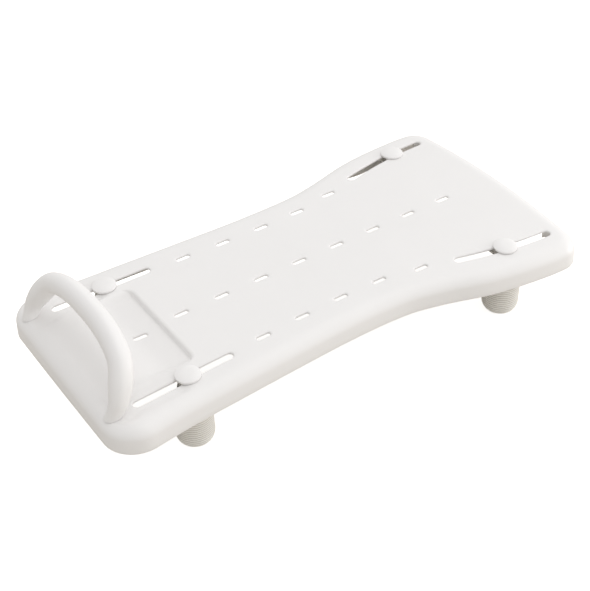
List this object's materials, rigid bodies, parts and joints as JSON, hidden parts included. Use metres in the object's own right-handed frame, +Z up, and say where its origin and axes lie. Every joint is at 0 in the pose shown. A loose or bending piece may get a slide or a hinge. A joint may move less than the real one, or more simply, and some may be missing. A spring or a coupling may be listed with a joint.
{
  "type": "bath board",
  "caption": "Moulded white bath board with a waisted slotted seat, an arch grab handle over a soap dish, and ribbed rubber feet that slide and clamp in long slots.",
  "frame": {"origin": "middle of the board in plan, at the floor under the feet", "axes": "+X along the board away from the handle, +Y across it to the rear, +Z up"},
  "size_m": [0.6996, 0.3662, 0.1864],
  "materials": {
    "white_plastic": "fine satin moulded polypropylene",
    "foot_plastic": "plain moulded plastic, hidden",
    "foot_rubber": "soft matt beige rubber",
    "zinc_steel": "zinc plated steel"
  },
  "bodies": {
    "board": {"seat_board": "white_plastic", "arch_handle": "white_plastic", "handle_screw_front": "zinc_steel", "handle_screw_rear": "zinc_steel", "handle_washer_front": "zinc_steel", "handle_washer_rear": "zinc_steel"},
    "clamp_front_left": {"clamp_disc_front_left": "white_plastic", "clamp_bolt_front_left": "zinc_steel", "slot_block_front_left": "white_plastic"},
    "grip_front_left": {"grip_washer_front_left": "foot_rubber"},
    "foot_front_left": {"foot_core_front_left": "foot_plastic", "foot_nut_front_left": "zinc_steel", "foot_sleeve_front_left": "foot_rubber"},
    "clamp_rear_left": {"clamp_disc_rear_left": "white_plastic", "clamp_bolt_rear_left": "zinc_steel", "slot_block_rear_left": "white_plastic"},
    "grip_rear_left": {"grip_washer_rear_left": "foot_rubber"},
    "foot_rear_left": {"foot_core_rear_left": "foot_plastic", "foot_nut_rear_left": "zinc_steel", "foot_sleeve_rear_left": "foot_rubber"},
    "clamp_front_right": {"clamp_disc_front_right": "white_plastic", "clamp_bolt_front_right": "zinc_steel", "slot_block_front_right": "white_plastic"},
    "grip_front_right": {"grip_washer_front_right": "foot_rubber"},
    "foot_front_right": {"foot_core_front_right": "foot_plastic", "foot_nut_front_right": "zinc_steel", "foot_sleeve_front_right": "foot_rubber"},
    "clamp_rear_right": {"clamp_disc_rear_right": "white_plastic", "clamp_bolt_rear_right": "zinc_steel", "slot_block_rear_right": "white_plastic"},
    "grip_rear_right": {"grip_washer_rear_right": "foot_rubber"},
    "foot_rear_right": {"foot_core_rear_right": "foot_plastic", "foot_nut_rear_right": "zinc_steel", "foot_sleeve_rear_right": "foot_rubber"}
  },
  "joints": [
    {"name": "clamp_travel_front_left", "type": "slide", "parent": "board", "child": "clamp_front_left", "axis": [0.9994, 0.0334, 0.0098], "range_m": [-0.0655, 0.0534]},
    {"name": "foot_drop_front_left", "type": "slide", "parent": "clamp_front_left", "child": "grip_front_left", "axis": [0.0098, 0, -1], "range_m": [0, 0.00251]},
    {"name": "foot_turn_front_left", "type": "hinge", "parent": "grip_front_left", "child": "foot_front_left", "pos_m": [-0.22606, -0.10705, 0.05023], "axis": [0.0098, 0, -1], "range_deg": [0, 720]},
    {"name": "clamp_travel_rear_left", "type": "slide", "parent": "board", "child": "clamp_rear_left", "axis": [0.9994, -0.0334, 0.0098], "range_m": [-0.0639, 0.055]},
    {"name": "foot_drop_rear_left", "type": "slide", "parent": "clamp_rear_left", "child": "grip_rear_left", "axis": [0.0098, 0, -1], "range_m": [0, 0.00251]},
    {"name": "foot_turn_rear_left", "type": "hinge", "parent": "grip_rear_left", "child": "foot_rear_left", "pos_m": [-0.22766, 0.1071, 0.05022], "axis": [0.0098, 0, -1], "range_deg": [0, 720]},
    {"name": "clamp_travel_front_right", "type": "hinge", "parent": "board", "child": "clamp_front_right", "pos_m": [0.32817, 0.41858, 0.09887], "axis": [0.0339, 0, 0.9994], "range_deg": [-6.4, 6.3]},
    {"name": "foot_drop_front_right", "type": "slide", "parent": "clamp_front_right", "child": "grip_front_right", "axis": [-0.0339, 0, -0.9994], "range_m": [0, 0.00251]},
    {"name": "foot_turn_front_right", "type": "hinge", "parent": "grip_front_right", "child": "foot_front_right", "pos_m": [0.24194, -0.13503, 0.04676], "axis": [-0.0339, 0, -0.9994], "range_deg": [0, 720]},
    {"name": "clamp_travel_rear_right", "type": "hinge", "parent": "board", "child": "clamp_rear_right", "pos_m": [0.32817, -0.41858, 0.09887], "axis": [-0.0339, 0, -0.9994], "range_deg": [-8.2, 4.5]},
    {"name": "foot_drop_rear_right", "type": "slide", "parent": "clamp_rear_right", "child": "grip_rear_right", "axis": [-0.0339, 0, -0.9994], "range_m": [0, 0.00251]},
    {"name": "foot_turn_rear_right", "type": "hinge", "parent": "grip_rear_right", "child": "foot_rear_right", "pos_m": [0.25954, 0.13743, 0.04616], "axis": [-0.0339, 0, -0.9994], "range_deg": [0, 720]}
  ],
  "couplings": [
    {"joint": "foot_drop_front_left", "follows": "foot_turn_front_left", "m_per_rad": 0.00019894},
    {"joint": "foot_drop_rear_left", "follows": "foot_turn_rear_left", "m_per_rad": 0.00019894},
    {"joint": "foot_drop_front_right", "follows": "foot_turn_front_right", "m_per_rad": 0.00019894},
    {"joint": "foot_drop_rear_right", "follows": "foot_turn_rear_right", "m_per_rad": 0.00019894}
  ]
}
